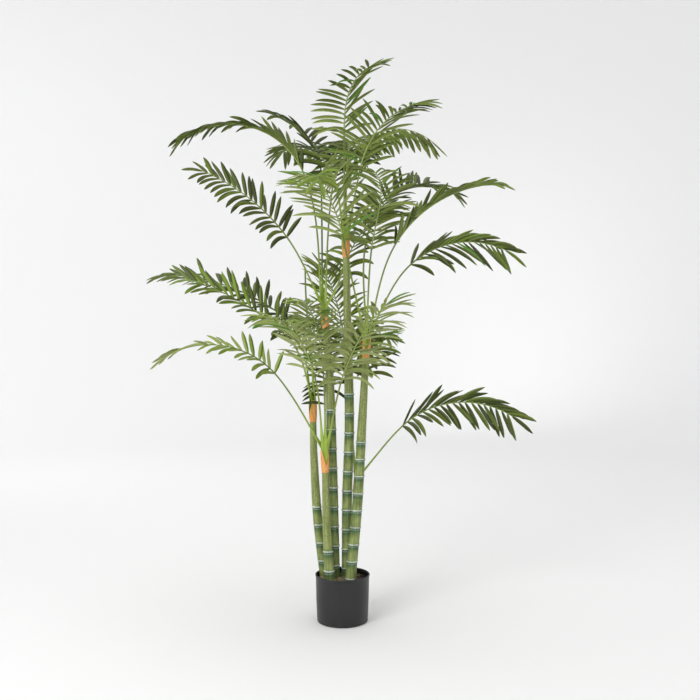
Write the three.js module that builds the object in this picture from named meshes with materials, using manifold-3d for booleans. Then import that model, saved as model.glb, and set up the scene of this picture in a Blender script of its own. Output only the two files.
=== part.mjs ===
// Potted areca palm: an artificial indoor plant, about 1.8 m tall, in a plain nursery pot.
// Six ringed canes stand in a cast filling. Each one carries on as a smooth shaft, ends in a tan
// collar, and holds a crown of feather-like fronds.
// Units are millimetres, +Z is up and -Y is the front. The origin is the middle of the pot's flat
// underside.

import * as THREE from 'three';
import Module from 'manifold-3d';

const wasm = await Module();
wasm.setup();

// Pot and filling
const potHeight = 150;
const potRimRadius = 87;
const potFootRadius = 81;
const potWall = 2.6;
const potFloor = 3;
const potCornerRadius = 5;
const potLipHeight = 7;
const potLipOut = 1.4;
const footGrooveHeight = 9;
const footGrooveDepth = 0.9;
const potSides = 36;
const fillTop = 132;
const seatGap = 0.3;

// Canes
const caneFootRadius = 17;
const slimFootRadius = 15.5;
const caneRingRadius = 15;
const shaftTopRadius = 10.4;
const ringRise = 1.3;
const ringHalfHeight = 4.5;
const caneSides = 10;
const shaftStep = 110;
const collarHeight = 70;
const collarBellyRadius = 12.6;
const collarTopRadius = 11.4;

// Fronds
const stalkSeatRadius = 7.9;
const stalkBaseHalf = 3;
const stalkHalf = 2.6;
const ribTipHalf = 1.1;
const sectionDrop = 0.6;
const stalkSteps = 5;
const pairPitch = 37;
const rootAtStalk = 9;
const rootAtTip = 5.5;
const leafWidth = 15;
const leafRidge = 2;
const leafBelly = 0.42;
const leafAngleAtTip = 34;
const leafAngleLeast = 24;
const leafClearance = 0.5;
const ribStep = 5;
const leafSag = 0.5;
const usualFrond = { turn: 0, roll: 0, twist: 0, spread: 62, skew: 0, lift: 14 };

// Each cane: its middle line from the filling to the top of its collar, its painted rings counted
// down from the top one, and its fronds. A frond leaves the collar towards "way" (0 is right, 90 is
// back, 180 is left, 270 is front), climbs at "rise" degrees, has come over to "arch" degrees where
// its leaflets start and to "tip" degrees at its end, and swings sideways by "turn". "roll" tips
// its blade about the rib, by "twist" more at its end. "spread" is the angle of its first leaflets
// to the rib, wider by "skew" on the right and narrower on the left, and "lift" how steeply they
// stand off its upper face. "stalk" is the bare stretch, "blade" the feathered one, and "leaf" the
// longest leaflet.
const canes = {
  a: {
    line: [[-58, 28, fillTop], [-79, 30, 305], [-92, 35, 500], [-97, 40, 702]],
    footRadius: slimFootRadius,
    rings: { top: 360, pitch: 58, count: 4 },
    fronds: [
      { way: 188, rise: 77, arch: 44, tip: 16, roll: -30, spread: 64, lift: 22, stalk: 220, blade: 377,
        leaf: 115 },
      { way: 168, rise: 84, arch: 38, tip: 1, roll: -20, spread: 66, lift: 22, stalk: 285, blade: 455,
        leaf: 110 },
      { way: 100, rise: 80, arch: 50, tip: -20, stalk: 180, blade: 370, leaf: 120 },
      { way: 20, rise: 96, arch: 90, tip: 90, stalk: 425, blade: 0, leaf: 0 },
    ],
  },
  b: {
    line: [[-40, -27, fillTop], [-50, -29, 320], [-56, -30, 548]],
    footRadius: caneFootRadius,
    rings: { top: 228, pitch: 62, count: 2 },
    fronds: [
      { way: 188, rise: 61, arch: 49, tip: -31, roll: -45, twist: 60, spread: 62, lift: 20, stalk: 282,
        blade: 376, leaf: 85 },
      { way: 245, rise: 82, arch: 60, tip: 0, stalk: 250, blade: 350, leaf: 115 },
      { way: 256, rise: 87, arch: 74, tip: 10, stalk: 270, blade: 300, leaf: 100 },
      { way: 308, rise: 74, arch: 65, tip: 30, spread: 70, lift: 8, stalk: 220, blade: 330, leaf: 145 },
      { way: 94, rise: 72, arch: 76, tip: 35, turn: -40, spread: 78, lift: 0, stalk: 145, blade: 290,
        leaf: 88 },
    ],
  },
  c: {
    line: [[-25, 8, fillTop], [-33, 12, 500], [-46, 18, 860], [-62, 25, 1000]],
    footRadius: caneFootRadius,
    rings: { top: 672, pitch: 62, count: 9 },
    fronds: [
      { way: 178, rise: 88, arch: 66, tip: -35, roll: -10, spread: 30, lift: 34, stalk: 446, blade: 465,
        leaf: 105 },
      { way: 185, rise: 66, arch: 54, tip: 22, roll: -50, stalk: 250, blade: 345, leaf: 100 },
      { way: 95, rise: 84, arch: 57, tip: 30, turn: 95, lift: 28, stalk: 500, blade: 290, leaf: 110 },
      { way: 65, rise: 86, arch: 74, tip: 5, turn: 60, stalk: 380, blade: 355, leaf: 115 },
      { way: 50, rise: 50, arch: 66, tip: 25, stalk: 120, blade: 390, leaf: 140 },
    ],
  },
  d: {
    line: [[14, 15, fillTop], [15, 14, 400], [22, 14, 620], [17, 14, 900], [10, 14, 1232]],
    footRadius: caneFootRadius,
    rings: { top: 723, pitch: 62, count: 10 },
    fronds: [
      { way: 270, rise: 90, arch: 83, tip: 8, turn: 50, roll: 10, spread: 66, skew: 16, lift: 12,
        stalk: 325, blade: 255, leaf: 115 },
      { way: 318, rise: 75, arch: 74, tip: -4, roll: -35, twist: 60, spread: 60, skew: 15,
        lift: 12, stalk: 213, blade: 300, leaf: 130 },
      { way: 15, rise: 94, arch: 57, tip: -38, turn: -10, spread: 75, lift: -36, stalk: 280, blade: 290,
        leaf: 105 },
      { way: 85, rise: 84, arch: 60, tip: -20, stalk: 240, blade: 380, leaf: 130 },
      { way: 128, rise: 80, arch: 55, tip: -10, stalk: 220, blade: 340, leaf: 130 },
    ],
  },
  e: {
    line: [[25, -23, fillTop], [48, -18, 380], [63, -14, 640], [78, -10, 907]],
    footRadius: caneFootRadius,
    rings: { top: 573, pitch: 54, count: 8 },
    fronds: [
      { way: 225, rise: 72, arch: 74, tip: -33, turn: 58, roll: 15, spread: 60, lift: 18, stalk: 325,
        blade: 380, leaf: 150 },
      { way: 310, rise: 87, arch: 80, tip: 10, turn: -64, lift: 10, stalk: 274, blade: 310, leaf: 135 },
      { way: 355, rise: 79, arch: 60, tip: 2, roll: 10, spread: 36, lift: 38, stalk: 299, blade: 388,
        leaf: 95 },
      { way: 15, rise: 65, arch: 42, tip: -22, roll: 18, twist: 50, spread: 52, skew: 20, lift: 10,
        stalk: 270, blade: 360, leaf: 140 },
      { way: 40, rise: 96, arch: 54, tip: -19, roll: 20, spread: 60, lift: 30, stalk: 390, blade: 430,
        leaf: 95 },
      { way: 88, rise: 50, arch: 0, tip: -70, stalk: 80, blade: 280, leaf: 88 },
    ],
  },
  f: {
    line: [[28, 51, fillTop], [37, 55, 300], [50, 60, 449]],
    footRadius: slimFootRadius,
    rings: { top: 196, pitch: 50, count: 2 },
    fronds: [
      { way: 355, rise: 52, arch: 44, tip: -32, roll: 25, twist: 35, spread: 54, skew: 18, lift: 8,
        stalk: 215, blade: 383, leaf: 130 },
      { way: 122, rise: 82, arch: 79, tip: 45, stalk: 430, blade: 320, leaf: 140 },
      { way: 72, rise: 87, arch: 66, tip: -15, stalk: 330, blade: 350, leaf: 120 },
    ],
  },
};

const looks = {
  pot: { color: 0x35373a, roughness: 0.55 },
  fill: { color: 0x4a4238, roughness: 0.95 },
  cane: { color: 0x6f8a3d, roughness: 0.5 },
  shaft: { color: 0x76863f, roughness: 0.55 },
  collar: { color: 0xd9955a, roughness: 0.65 },
  frond: { color: 0x4c7433, roughness: 0.6 },
};

const { lerp, clamp, degToRad } = THREE.MathUtils;
const plant = new THREE.Group();

function addMesh(name, geometry, look) {
  const mesh = new THREE.Mesh(geometry, new THREE.MeshStandardMaterial({ ...look, metalness: 0 }));
  mesh.name = name;
  plant.add(mesh);
}

// A turned solid that stands on the XY plane, from profile points [radius, height]
function turned(profile, sides) {
  const outline = profile.map(([radius, height]) => new THREE.Vector2(radius, height));
  return new THREE.LatheGeometry(outline, sides).rotateX(Math.PI / 2);
}

// The pot's outer radius at a height above its underside
function potRadius(height) {
  return lerp(potFootRadius, potRimRadius, height / potHeight);
}

// A thin-walled nursery pot: a rounded foot edge, a shallow groove above it, and a rolled lip
function potProfile() {
  const lipBottom = potHeight - potLipHeight;
  const edge = 1;
  return [
    [0, 0],
    [potFootRadius - potCornerRadius, 0],
    [potFootRadius - 0.3 * potCornerRadius, 0.3 * potCornerRadius],
    [potRadius(potCornerRadius), potCornerRadius],
    [potRadius(footGrooveHeight) - footGrooveDepth, footGrooveHeight],
    [potRadius(footGrooveHeight + 4), footGrooveHeight + 4],
    [potRadius(lipBottom) - potLipOut, lipBottom],
    [potRadius(lipBottom), lipBottom + potLipOut],
    [potRimRadius, potHeight - edge],
    [potRimRadius - edge, potHeight],
    [potRimRadius - potWall, potHeight],
    [potRimRadius - potWall - potLipOut, lipBottom],
    [potFootRadius - potWall, potFloor],
    [0, potFloor],
  ];
}

// The cast filling, clear of the pot all round
function fillProfile() {
  const bottom = potFloor + seatGap;
  const top = fillTop - seatGap;
  return [
    [0, bottom],
    [potFootRadius - potWall - seatGap, bottom],
    [potRadius(top) - potWall - potLipOut - seatGap, top],
    [0, top],
  ];
}

// A cane's radius at a height above the filling: a slow taper over the rings, a quicker one above
function caneRadius(cane, height, length) {
  const topRing = cane.rings.top - fillTop;
  const ringRadius = Math.min(caneRingRadius, cane.footRadius);
  if (height < topRing) {
    return lerp(cane.footRadius, ringRadius, height / topRing);
  }
  const share = (height - topRing) / (length - collarHeight - topRing);
  return lerp(ringRadius, shaftTopRadius, Math.min(share, 1));
}

// Moves each level section of a turned solid onto the line, from the distance "start" along it, so
// that a leaning cane keeps a flat cut at its foot
function bendAlong(geometry, line, start) {
  const length = line.getLength();
  const position = geometry.attributes.position;
  for (let i = 0; i < position.count; i += 1) {
    const centre = line.getPointAt(clamp((start + position.getZ(i)) / length, 0, 1));
    position.setXYZ(i, centre.x + position.getX(i), centre.y + position.getY(i), centre.z);
  }
  return geometry;
}

function ringedProfile(cane, length, top) {
  const radius = (height) => caneRadius(cane, height, length);
  const profile = [[0, 0], [radius(0), 0]];
  for (let ring = cane.rings.count - 1; ring >= 0; ring -= 1) {
    const middle = cane.rings.top - fillTop - ring * cane.rings.pitch;
    profile.push([radius(middle - ringHalfHeight), middle - ringHalfHeight]);
    profile.push([radius(middle) + ringRise, middle]);
    profile.push([radius(middle + ringHalfHeight), middle + ringHalfHeight]);
  }
  profile.push([radius(top), top], [0, top]);
  return profile;
}

function shaftProfile(cane, length, bottom, top) {
  const steps = Math.ceil((top - bottom) / shaftStep);
  const profile = [[0, 0]];
  for (let step = 0; step <= steps; step += 1) {
    const height = (step * (top - bottom)) / steps;
    profile.push([caneRadius(cane, bottom + height, length), height]);
  }
  profile.push([0, top - bottom]);
  return profile;
}

function collarProfile() {
  const height = collarHeight - seatGap;
  return [
    [0, 0],
    [shaftTopRadius + 0.6, 0],
    [collarBellyRadius, 0.35 * height],
    [collarBellyRadius - 0.4, 0.75 * height],
    [collarTopRadius, height],
    [0, height],
  ];
}

// A frond's rib: its heading, its axes and its place at a distance from its foot
class Rib {
  constructor(frond, foot) {
    this.frond = frond;
    this.foot = foot;
    this.length = frond.stalk + frond.blade;
  }

  onStalk(distance) {
    return Math.min(distance / this.frond.stalk, 1);
  }

  onBlade(distance) {
    return this.frond.blade > 0 ? Math.max(distance - this.frond.stalk, 0) / this.frond.blade : 0;
  }

  azimuth(distance) {
    return degToRad(this.frond.way + this.frond.turn * this.onBlade(distance));
  }

  along(distance) {
    const { rise, arch, tip } = this.frond;
    const bent = (arch - rise) * this.onStalk(distance) ** 3;
    const elevation = degToRad(rise + bent + (tip - arch) * this.onBlade(distance));
    const azimuth = this.azimuth(distance);
    const flat = Math.cos(elevation);
    return new THREE.Vector3(flat * Math.cos(azimuth), flat * Math.sin(azimuth), Math.sin(elevation));
  }

  place(distance) {
    const steps = Math.max(1, Math.ceil(distance / ribStep));
    const step = distance / steps;
    const place = this.foot.clone();
    for (let i = 0; i < steps; i += 1) {
      place.addScaledVector(this.along((i + 0.5) * step), step);
    }
    return place;
  }

  // Along the rib, across its blade to the right, and out of the blade's upper face
  frame(distance) {
    const azimuth = this.azimuth(distance);
    const along = this.along(distance);
    const side = new THREE.Vector3(Math.sin(azimuth), -Math.cos(azimuth), 0);
    const up = new THREE.Vector3().crossVectors(side, along);
    const tilt = degToRad(this.frond.roll + this.frond.twist * this.onBlade(distance));
    side.applyAxisAngle(along, tilt);
    up.applyAxisAngle(along, tilt);
    return { along, side, up, place: this.place(distance) };
  }

  // The corners of its three-sided section: ridge, right and left
  corners(distance) {
    const { side, up, place } = this.frame(distance);
    const stalkEnd = lerp(stalkBaseHalf, stalkHalf, this.onStalk(distance));
    const half = lerp(stalkEnd, ribTipHalf, this.onBlade(distance));
    return [
      place.clone().addScaledVector(up, half),
      place.clone().addScaledVector(side, half).addScaledVector(up, -sectionDrop * half),
      place.clone().addScaledVector(side, -half).addScaledVector(up, -sectionDrop * half),
    ];
  }
}

// How long the leaflets are along the blade: short at its foot, longest a third of the way, and
// shorter again at its end
function leafShare(onBlade) {
  return 0.58 + 0.42 * Math.sin(Math.PI * Math.min(1, 0.16 + 0.86 * onBlade));
}

// The way a leaflet grows from the rib. hand is 1 on the right and -1 on the left.
function leafReach(rib, frame, onBlade, hand) {
  const wanted = lerp(rib.frond.spread, leafAngleAtTip, onBlade) + rib.frond.skew * hand;
  const angle = degToRad(Math.max(wanted, leafAngleLeast));
  const lift = degToRad(rib.frond.lift);
  const out = frame.side.clone().multiplyScalar(hand * Math.cos(lift));
  out.addScaledVector(frame.up, Math.sin(lift));
  const reach = frame.along.clone().multiplyScalar(Math.cos(angle));
  return reach.addScaledVector(out, Math.sin(angle)).normalize();
}

// A leaflet's points past its root: the ridge and the two edges at its widest, and its tip. swell
// makes it larger on all sides, to test that it keeps clear of the other fronds.
function leafSection(leaf, swell) {
  const { root, reach, across, normal, length, hand } = leaf;
  const belly = root.clone().addScaledVector(reach, leafBelly * length);
  const fall = reach.clone();
  fall.z -= leafSag;
  fall.normalize();
  const half = leafWidth / 2 + swell;
  const ridge = belly.clone().addScaledVector(normal, leafRidge + swell);
  const back = belly.clone().addScaledVector(across, -half).addScaledVector(normal, -swell);
  const front = belly.clone().addScaledVector(across, half).addScaledVector(normal, -swell);
  const tip = belly.clone().addScaledVector(fall, (1 - leafBelly) * length + swell);
  return hand > 0 ? [ridge, back, front, tip] : [ridge, front, back, tip];
}

// The faces of a leaflet that grows out of the triangle (p, q, r) of a surface. Its ridge stands
// over p, its edges stand over q and r, and its points are numbered from "first".
function leafFaces(p, q, r, first) {
  const [overP, overQ, overR, tip] = [first, first + 1, first + 2, first + 3];
  return [
    [p, q, overQ], [p, overQ, overP],
    [q, r, overR], [q, overR, overQ],
    [r, p, overP], [r, overP, overR],
    [overP, overQ, tip],
    [overQ, overR, tip],
    [overR, overP, tip],
  ];
}

// Where the rib has a section: steps along the bare stalk, then both ends of each leaflet's root
function ribSections(frond) {
  const distances = Array.from({ length: stalkSteps }, (_, step) => (step * frond.stalk) / stalkSteps);
  const roots = [];
  if (frond.blade === 0) {
    distances.push(frond.stalk);
    return { distances, roots };
  }
  const pairs = Math.round(frond.blade / pairPitch);
  const pitch = (frond.blade - rootAtTip) / (pairs - 1);
  for (let pair = 0; pair < pairs; pair += 1) {
    const start = frond.stalk + pair * pitch;
    roots.push(distances.length);
    distances.push(start, start + lerp(rootAtStalk, rootAtTip, pair / (pairs - 1)));
  }
  return { distances, roots };
}

// The bare rib as triangles between its sections, with both ends closed
function ribFaces(count) {
  const faces = [[0, 2, 1]];
  for (let k = 0; k < count - 1; k += 1) {
    const [ridge, right, left] = [3 * k, 3 * k + 1, 3 * k + 2];
    faces.push([ridge, right, right + 3], [ridge, right + 3, ridge + 3]);
    faces.push([ridge, left + 3, left], [ridge, ridge + 3, left + 3]);
    faces.push([right, left, left + 3], [right, left + 3, right + 3]);
  }
  const end = 3 * (count - 1);
  faces.push([end, end + 1, end + 2]);
  return faces;
}

function toSolid(points, triangles) {
  const mesh = new wasm.Mesh({
    numProp: 3,
    vertProperties: new Float32Array(points.flatMap((point) => [point.x, point.y, point.z])),
    triVerts: new Uint32Array(triangles.flat()),
  });
  mesh.merge();
  return { solid: new wasm.Manifold(mesh), box: new THREE.Box3().setFromPoints(points) };
}

// A geometry that is already made, as a solid for the clearance tests
function limbOf(geometry) {
  const position = geometry.attributes.position;
  const points = Array.from({ length: position.count }, (_, i) =>
    new THREE.Vector3().fromBufferAttribute(position, i));
  return toSolid(points, [Array.from(geometry.index.array)]);
}

// A frond's rib with its sections, and the solid that the leaflets of other fronds keep clear of
function planFrond(name, rib) {
  const { distances, roots } = ribSections(rib.frond);
  const corners = distances.flatMap((distance) => rib.corners(distance));
  const bare = toSolid(corners, ribFaces(distances.length));
  return { name, rib, distances, roots, corners, leaves: [], ...bare };
}

// A leaflet that grows from three corners of its frond's rib, at a distance from the rib's foot
function planLeaf(plan, numbers, distance, hand) {
  const { rib } = plan;
  const frame = rib.frame(distance);
  const onBlade = rib.onBlade(distance);
  const last = hand === 0;
  const reach = last ? frame.along : leafReach(rib, frame, onBlade, hand);
  const across = last
    ? frame.side
    : frame.along.clone().addScaledVector(reach, -frame.along.dot(reach)).normalize();
  const normal = new THREE.Vector3().crossVectors(across, reach).normalize();
  if (normal.dot(frame.up) < 0) {
    normal.negate();
  }
  const rootPoints = numbers.map((number) => plan.corners[number]);
  const length = rib.frond.leaf * leafShare(onBlade);
  const axes = { root: frame.place, reach, across, normal };
  return { numbers, rootPoints, ...axes, length, hand };
}

// The leaflets of a frond: two at each root, and one that carries on from the end of the rib
function planLeaves(plan) {
  const { distances, roots } = plan;
  const leaves = [];
  for (const k of roots) {
    const middle = (distances[k] + distances[k + 1]) / 2;
    leaves.push(planLeaf(plan, [3 * k, 3 * k + 1, 3 * k + 4], middle, 1));
    leaves.push(planLeaf(plan, [3 * k, 3 * k + 5, 3 * k + 2], middle, -1));
  }
  const last = distances.length - 1;
  leaves.push(planLeaf(plan, [3 * last, 3 * last + 1, 3 * last + 2], distances[last], 0));
  return leaves;
}

function leafSolid(leaf, swell) {
  const points = [...leaf.rootPoints, ...leafSection(leaf, swell)];
  return toSolid(points, [[0, 2, 1], ...leafFaces(0, 1, 2, 3)]);
}

// True if a solid meets any of the others whose boxes it reaches
function meetsAny(one, others) {
  const near = others.filter((other) => other.box.intersectsBox(one.box));
  return near.some((other) => !one.solid.intersect(other.solid).isEmpty());
}

// The frond as one closed surface: each leaflet grows out of a triangle of the rib
function frondGeometry(plan) {
  const points = [...plan.corners];
  const leafAt = new Map(plan.leaves.map((leaf) => [leaf.numbers.join(), leaf]));
  const faces = [];
  for (const face of ribFaces(plan.distances.length)) {
    const leaf = leafAt.get(face.join());
    if (leaf) {
      faces.push(...leafFaces(...face, points.length));
      points.push(...leafSection(leaf, 0));
    } else {
      faces.push(face);
    }
  }
  const geometry = new THREE.BufferGeometry().setFromPoints(points);
  geometry.setIndex(faces.flat());
  geometry.computeVertexNormals();
  return geometry;
}

// One cane with its shaft and collar, as solids that the leaflets keep clear of
function addCane(letter, cane, line) {
  const length = line.getLength();
  const caneTop = cane.rings.top - fillTop + 2 * ringHalfHeight;
  const shaftBottom = caneTop + seatGap;
  const shaftTop = length - collarHeight;
  const pieces = [
    [`cane_${letter}`, ringedProfile(cane, length, caneTop), 0, looks.cane],
    [`shaft_${letter}`, shaftProfile(cane, length, shaftBottom, shaftTop), shaftBottom, looks.shaft],
    [`collar_${letter}`, collarProfile(), shaftTop + seatGap, looks.collar],
  ];
  return pieces.map(([name, profile, start, look]) => {
    const geometry = bendAlong(turned(profile, caneSides), line, start);
    addMesh(name, geometry, look);
    return limbOf(geometry);
  });
}

// The stalks of a crown stand in a circle on the collar, evenly spaced, in the order of the ways
// that they go and as near to those ways as that spacing lets them be. The lowest corner of a
// stalk's first section is what rests there.
function planCrown(letter, fronds, crown) {
  const order = fronds.map((frond) => frond.way).sort((one, two) => one - two);
  const spacing = 360 / order.length;
  const start = order.reduce((sum, way, place) => sum + way - place * spacing, 0) / order.length;
  return fronds.map((frond, number) => {
    const seat = degToRad(start + order.indexOf(frond.way) * spacing);
    const foot = crown.clone();
    foot.x += stalkSeatRadius * Math.cos(seat);
    foot.y += stalkSeatRadius * Math.sin(seat);
    const rib = new Rib({ ...usualFrond, ...frond }, foot);
    foot.z += crown.z + seatGap - Math.min(...rib.corners(0).map((corner) => corner.z));
    return planFrond(`frond_${letter}${number + 1}`, rib);
  });
}

addMesh('pot', turned(potProfile(), potSides), looks.pot);
addMesh('pot_fill', turned(fillProfile(), potSides), looks.fill);

const limbs = [];
const plans = [];
for (const [letter, cane] of Object.entries(canes)) {
  const line = new THREE.CatmullRomCurve3(cane.line.map((point) => new THREE.Vector3(...point)));
  limbs.push(...addCane(letter, cane, line));
  plans.push(...planCrown(letter, cane.fronds, line.getPointAt(1)));
}

// Leaflets are given out frond by frond. One that would touch a cane or any part of another frond
// is left out.
const grown = [];
for (const plan of plans) {
  if (plan.roots.length > 0) {
    const others = [...limbs, ...plans.filter((other) => other !== plan), ...grown];
    plan.leaves = planLeaves(plan).filter((leaf) => !meetsAny(leafSolid(leaf, leafClearance), others));
    grown.push(...plan.leaves.map((leaf) => leafSolid(leaf, 0)));
  }
  addMesh(plan.name, frondGeometry(plan), looks.frond);
}

export default plant;
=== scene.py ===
# Potted areca palm, an artificial plant about 1.74 m tall: six ringed canes in a nursery pot, each
# with a crown of feather-like fronds. Metres, +Z up, -Y is the front, and the origin is the middle
# of the pot's flat underside.

from math import ceil, cos, pi, radians, sin, sqrt

import bpy
import numpy as np
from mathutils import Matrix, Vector, noise


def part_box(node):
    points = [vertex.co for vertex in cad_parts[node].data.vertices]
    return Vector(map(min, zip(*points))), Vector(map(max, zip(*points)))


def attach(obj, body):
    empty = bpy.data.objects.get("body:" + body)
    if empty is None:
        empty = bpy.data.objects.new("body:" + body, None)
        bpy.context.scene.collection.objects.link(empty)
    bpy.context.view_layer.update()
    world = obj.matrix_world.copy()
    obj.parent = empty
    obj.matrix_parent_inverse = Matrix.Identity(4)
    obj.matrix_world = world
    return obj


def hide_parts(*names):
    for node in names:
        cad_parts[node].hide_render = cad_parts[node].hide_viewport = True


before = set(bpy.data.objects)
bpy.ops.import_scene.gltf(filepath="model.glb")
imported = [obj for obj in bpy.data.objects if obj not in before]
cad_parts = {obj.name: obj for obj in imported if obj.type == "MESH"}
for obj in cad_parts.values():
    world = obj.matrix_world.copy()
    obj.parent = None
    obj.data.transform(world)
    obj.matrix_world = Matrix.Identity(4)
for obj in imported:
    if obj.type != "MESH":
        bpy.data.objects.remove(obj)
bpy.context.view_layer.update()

bpy.ops.object.select_all(action="DESELECT")

# Nursery pot
# A thin-walled pot of charcoal polypropylene, injection moulded: it widens upwards, has a rounded
# foot edge with a shallow groove above it, and a rolled lip. The plant stands on its flat underside.

mm = 0.001
pot_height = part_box("pot")[1].z
rim_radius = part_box("pot")[1].x
foot_to_rim = 81 / 87
foot_radius = rim_radius * foot_to_rim
pot_wall = 2.6 * mm
pot_floor = 3 * mm
foot_edge = 5 * mm
foot_edge_middle = 1.5 * mm
groove_height = 9 * mm
groove_top = groove_height + 4 * mm
groove_depth = 0.9 * mm
lip_bottom = pot_height - 7 * mm
lip_out = 1.4 * mm
lip_round = 1 * mm
edge_bevel = 0.6 * mm
pot_sides = 120
merge_distance = 0.02 * mm


def wall_radius(height):
    """The pot's outer radius at a height above its underside."""
    return foot_radius + (rim_radius - foot_radius) * height / pot_height


def spun(name, outline, sides):
    """Draws half of a piece's section as edges and spins it round the upright axis."""
    mesh = bpy.data.meshes.new(name)
    edges = [(i, i + 1) for i in range(len(outline) - 1)]
    mesh.from_pydata([(radius, 0, height) for radius, height in outline], edges, [])
    piece = bpy.data.objects.new(name, mesh)
    bpy.context.collection.objects.link(piece)
    bpy.context.view_layer.objects.active = piece
    bpy.ops.object.mode_set(mode="EDIT")
    bpy.ops.mesh.select_all(action="SELECT")
    bpy.ops.mesh.spin(steps=sides, angle=2 * pi, center=(0, 0, 0), axis=(0, 0, 1))
    bpy.ops.mesh.select_all(action="SELECT")
    bpy.ops.mesh.remove_doubles(threshold=merge_distance)
    bpy.ops.mesh.normals_make_consistent(inside=False)
    bpy.ops.object.mode_set(mode="OBJECT")
    return piece


def apply_modifier(piece, kind, **settings):
    """Adds a modifier with its settings to a piece and applies it."""
    modifier = piece.modifiers.new(kind, kind)
    for name, value in settings.items():
        setattr(modifier, name, value)
    bpy.context.view_layer.objects.active = piece
    bpy.ops.object.modifier_apply(modifier=kind)


def shade(piece, angle):
    """Shades a piece smooth, apart from edges that are sharper than the angle."""
    piece.select_set(True)
    bpy.context.view_layer.objects.active = piece
    bpy.ops.object.shade_smooth_by_angle(angle=radians(angle))
    piece.select_set(False)


def linear(colour):
    """An sRGB hex colour as linear red, green, blue and alpha."""
    shares = [int(colour[at : at + 2], 16) / 255 for at in (1, 3, 5)]
    return [s / 12.92 if s <= 0.04045 else ((s + 0.055) / 1.055) ** 2.4 for s in shares] + [1]


def add_node(material, kind, inputs=(), stops=(), **settings):
    """Adds a shader node with its settings, its inputs as values or links, and a ramp's stops."""
    made = material.node_tree.nodes.new("ShaderNode" + kind)
    for name, value in settings.items():
        setattr(made, name, value)
    for name, value in dict(inputs).items():
        if isinstance(value, bpy.types.NodeSocket):
            material.node_tree.links.new(value, made.inputs[name])
        else:
            made.inputs[name].default_value = value
    for number, (place, colour) in enumerate(stops):
        elements = made.color_ramp.elements
        stop = elements[number] if number < 2 else elements.new(place)
        stop.position = place
        stop.color = linear(colour)
    return made


def new_material(name):
    """An empty material, and the object coordinates that its patterns read."""
    material = bpy.data.materials.new(name)
    material.use_nodes = True
    material.node_tree.nodes.clear()
    return material, add_node(material, "TexCoord").outputs["Object"]


def set_surface(material, inputs):
    """Ends a material with its Principled shader."""
    shader = add_node(material, "BsdfPrincipled", inputs)
    add_node(material, "OutputMaterial", {"Surface": shader.outputs[0]})


pot = spun("nursery_pot", [
    (0, 0),
    (foot_radius - foot_edge, 0),
    (foot_radius - foot_edge_middle, foot_edge_middle),
    (wall_radius(foot_edge), foot_edge),
    (wall_radius(groove_height) - groove_depth, groove_height),
    (wall_radius(groove_top), groove_top),
    (wall_radius(pot_height / 2), pot_height / 2),
    (wall_radius(lip_bottom) - lip_out, lip_bottom),
    (wall_radius(lip_bottom), lip_bottom + lip_out),
    (rim_radius, pot_height - lip_round),
    (rim_radius - lip_round, pot_height),
    (rim_radius - pot_wall, pot_height),
    (rim_radius - pot_wall - lip_out, lip_bottom),
    (foot_radius - pot_wall, pot_floor),
    (0, pot_floor),
], pot_sides)
apply_modifier(pot, "BEVEL", width=edge_bevel, segments=2, limit_method="ANGLE", angle_limit=radians(20))
shade(pot, 35)

# Injection-moulded polypropylene: a satin charcoal skin with the mould's fine spark-eroded grain,
# and faint upright flow marks. The grain is 0.1 mm on a real pot and is drawn coarser to show.
grain_width = 0.9 * mm
flow_width = 14 * mm
flow_stretch = (1, 1, 0.12)
polypropylene, at = new_material("charcoal_polypropylene")
grain = add_node(polypropylene, "TexNoise", {"Vector": at, "Scale": 1 / grain_width, "Detail": 2})
upright = add_node(polypropylene, "Mapping", {"Vector": at, "Scale": flow_stretch})
flow = add_node(polypropylene, "TexNoise",
                {"Vector": upright.outputs[0], "Scale": 1 / flow_width, "Detail": 4})
tone = add_node(polypropylene, "ValToRGB", {"Fac": flow.outputs[0]},
                [(0.3, "#1b1b1c"), (0.75, "#232323")])
gloss = add_node(polypropylene, "MapRange", {"Value": flow.outputs[0], "To Min": 0.38, "To Max": 0.52})
bump = add_node(polypropylene, "Bump",
                {"Height": grain.outputs[0], "Strength": 0.25, "Distance": 0.15 * mm})
set_surface(polypropylene, {
    "Base Color": tone.outputs[0],
    "Roughness": gloss.outputs[0],
    "Normal": bump.outputs[0],
    "IOR": 1.49,
})
pot.data.materials.append(polypropylene)
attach(pot, "root")
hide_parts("pot")

# Filling
# The canes are cast into cement that fills most of the pot. Dark peat was pressed into its top
# while it was wet, which left it lumpy.

seat_gap = 0.3 * mm
fill_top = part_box("pot_fill")[1].z + seat_gap
fill_radius = wall_radius(fill_top) - pot_wall - lip_out - seat_gap
fill_rings = 34
mean_rise = 1.05 * mm
lump_width = 9 * mm
lump_rise = 1.35 * mm
crumb_width = 3.15 * mm
crumb_rise = 0.75 * mm
crumb_level = 0.4

top_outline = [(fill_radius * ring / fill_rings, fill_top) for ring in range(fill_rings, -1, -1)]
filling = spun("peat_filling", [
    (0, pot_floor),
    (foot_radius - pot_wall - seat_gap, pot_floor),
    *top_outline,
], pot_sides)


def fill_height(x, y):
    """The height of the filling's surface over a place in the pot, from two levels of one noise."""
    lump = noise.noise(Vector((x, y, 0)) / lump_width)
    crumb = noise.noise(Vector((x, y, crumb_level)) / crumb_width)
    return fill_top + mean_rise + lump_rise * lump + crumb_rise * crumb


for vertex in filling.data.vertices:
    if vertex.co.z > (pot_floor + fill_top) / 2:
        vertex.co.z = fill_height(vertex.co.x, vertex.co.y)
shade(filling, 60)

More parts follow.
